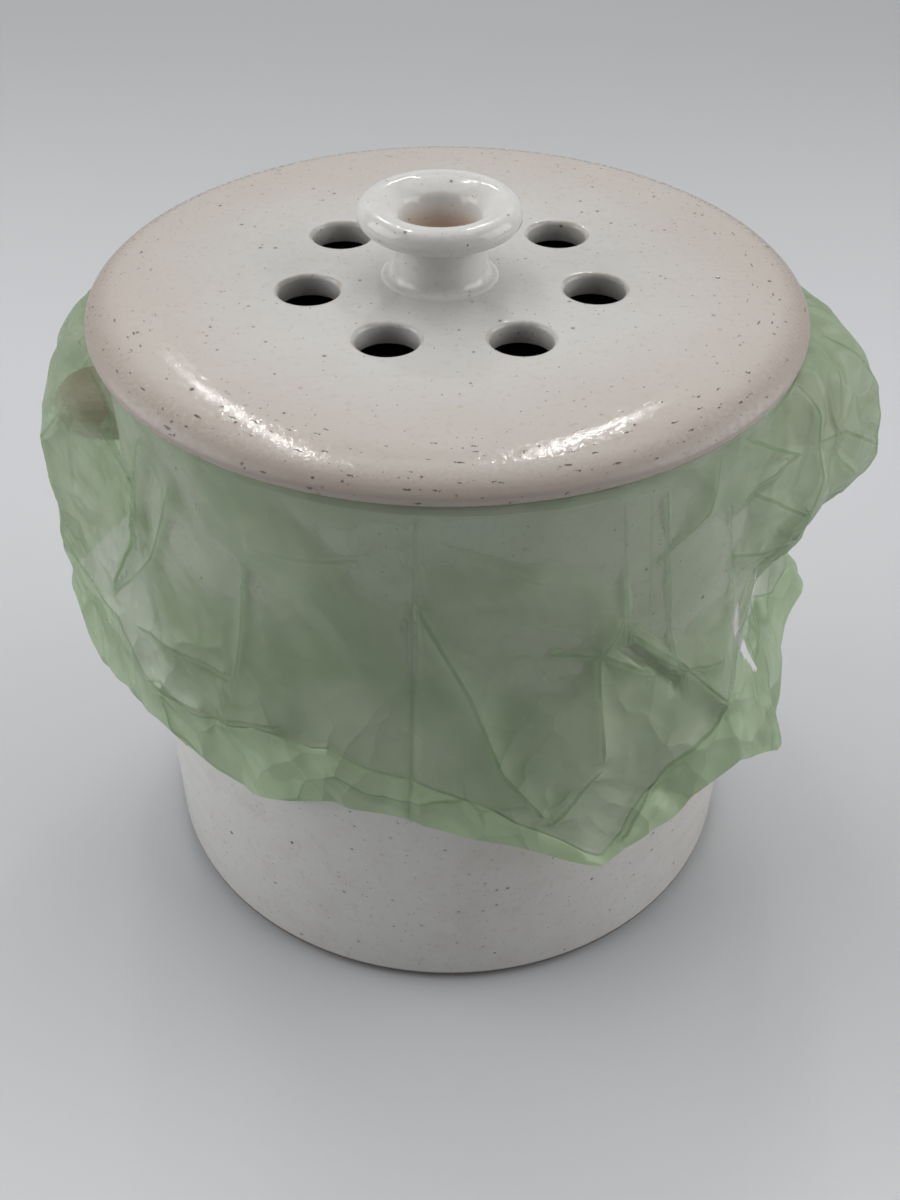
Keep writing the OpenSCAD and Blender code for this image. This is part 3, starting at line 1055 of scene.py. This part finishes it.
def makeFloor():
    bm = bmesh.new()
    bmesh.ops.create_grid(bm, x_segments=1, y_segments=1, size=4)
    mesh = bpy.data.meshes.new("studioFloor")
    bm.to_mesh(mesh)
    bm.free()
    mesh.materials.append(paperSweep())
    floor = bpy.data.objects.new("studioFloor", mesh)
    scene.collection.objects.link(floor)


def makeWorld():
    # brighter behind the object than on the camera's side, and even where the camera sees it
    world = bpy.data.worlds.new("studioWorld")
    world.use_nodes = True
    tree = world.node_tree
    back = tree.nodes["Background"]
    back.inputs["Color"].default_value = studio["world"]
    way = tree.nodes.new("ShaderNodeTexCoord")
    apart = tree.nodes.new("ShaderNodeSeparateXYZ")
    fade = tree.nodes.new("ShaderNodeMapRange")
    fade.interpolation_type = "SMOOTHSTEP"
    for target, value in zip(fade.inputs[1:5], (-0.9, 0.9, studio["dim"], studio["bright"])):
        target.default_value = value
    tree.links.new(way.outputs["Generated"], apart.inputs[0])
    tree.links.new(apart.outputs["Y"], fade.inputs[0])
    seen = tree.nodes.new("ShaderNodeLightPath")
    pick = tree.nodes.new("ShaderNodeMix")
    pick.inputs[3].default_value = studio["seen"]
    tree.links.new(seen.outputs["Is Camera Ray"], pick.inputs[0])
    tree.links.new(fade.outputs[0], pick.inputs[2])
    tree.links.new(pick.outputs[0], back.inputs["Strength"])
    scene.world = world


def makeLamp(name, place, turned, size, power, tint):
    data = bpy.data.lights.new(name, "AREA")
    data.shape = "RECTANGLE"
    data.size, data.size_y = size
    data.energy = power
    data.color = tint
    lamp = bpy.data.objects.new(name, data)
    lamp.matrix_world = Matrix.Translation(place) @ turned
    scene.collection.objects.link(lamp)


def makeLamps():
    for name, place, turn, size, power in stripLamps:
        # the long side lies level, from front to back
        lean = Matrix.Rotation(math.atan2(-place[0], place[2]), 4, "Y")
        makeLamp(name, place, Matrix.Rotation(math.radians(turn), 4, "Z") @ lean, size, power, stripTint)
    for name, place, faces, size, power in softLamps:
        way = Vector((0, 0, faces)) - Vector(place)
        makeLamp(name, place, way.to_track_quat("-Z", "Y").to_matrix().to_4x4(), size, power, white)


makeCamera()
makeFloor()
makeWorld()
makeLamps()
print("stage and camera are in")

makeCrock(glazed("crockGlaze", 0, crockWarm, gloss=0.18, grain=0.9, white=0.05, foot=crock["footHigh"]))
makeLid(glazed("lidGlaze", lidX, towardsEdge, ventBreakAndEdgeShade, gloss=-0.01, pits=shoulderPits, tint=glaze["edge"]))
makeKnob(glazed("knobGlaze", knobX, even(0.0), knobInside, gloss=-0.02, grain=0.8, white=0.1))
lugGlaze = glazed("lugGlaze", 0, even(0.9), even(0.45), gloss=0.3, white=0.12)
for node, material in (
    ("lug_left", lugGlaze),
    ("lug_right", lugGlaze),
    ("lid_collar", bareClay()),
    ("charcoal_filter", charcoalPad()),
):
    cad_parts[node].data.materials.clear()
    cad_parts[node].data.materials.append(material)
print("clay pieces are in")

linerSheet = makeLiner(linerFilm())
print("liner is in")

scene.view_settings.view_transform = "Standard"
